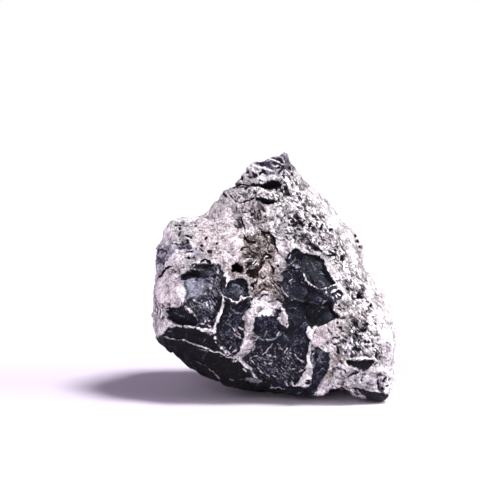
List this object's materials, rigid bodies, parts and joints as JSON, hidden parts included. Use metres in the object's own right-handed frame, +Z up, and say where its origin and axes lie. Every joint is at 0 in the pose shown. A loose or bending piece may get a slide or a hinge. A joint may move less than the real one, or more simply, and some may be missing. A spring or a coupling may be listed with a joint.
{
  "type": "decorative stone",
  "caption": "Angular natural stone with dark fragments set in pale veins, a pitted pale crust and a flat resting side, used as decorative rockwork.",
  "frame": {"origin": "middle of the bounding box seen from above, at the height of the flat seat the stone rests on", "axes": "+X to the right of the shown side, +Y away from the viewer (the shown side faces -Y), +Z up from the seat"},
  "size_m": [0.1982, 0.1432, 0.1937],
  "materials": {
    "stone": "matt, blue-black fragments in cream and pale grey crust with white veins"
  },
  "bodies": {
    "root": {"zebra_rock": "stone"}
  },
  "joints": []
}
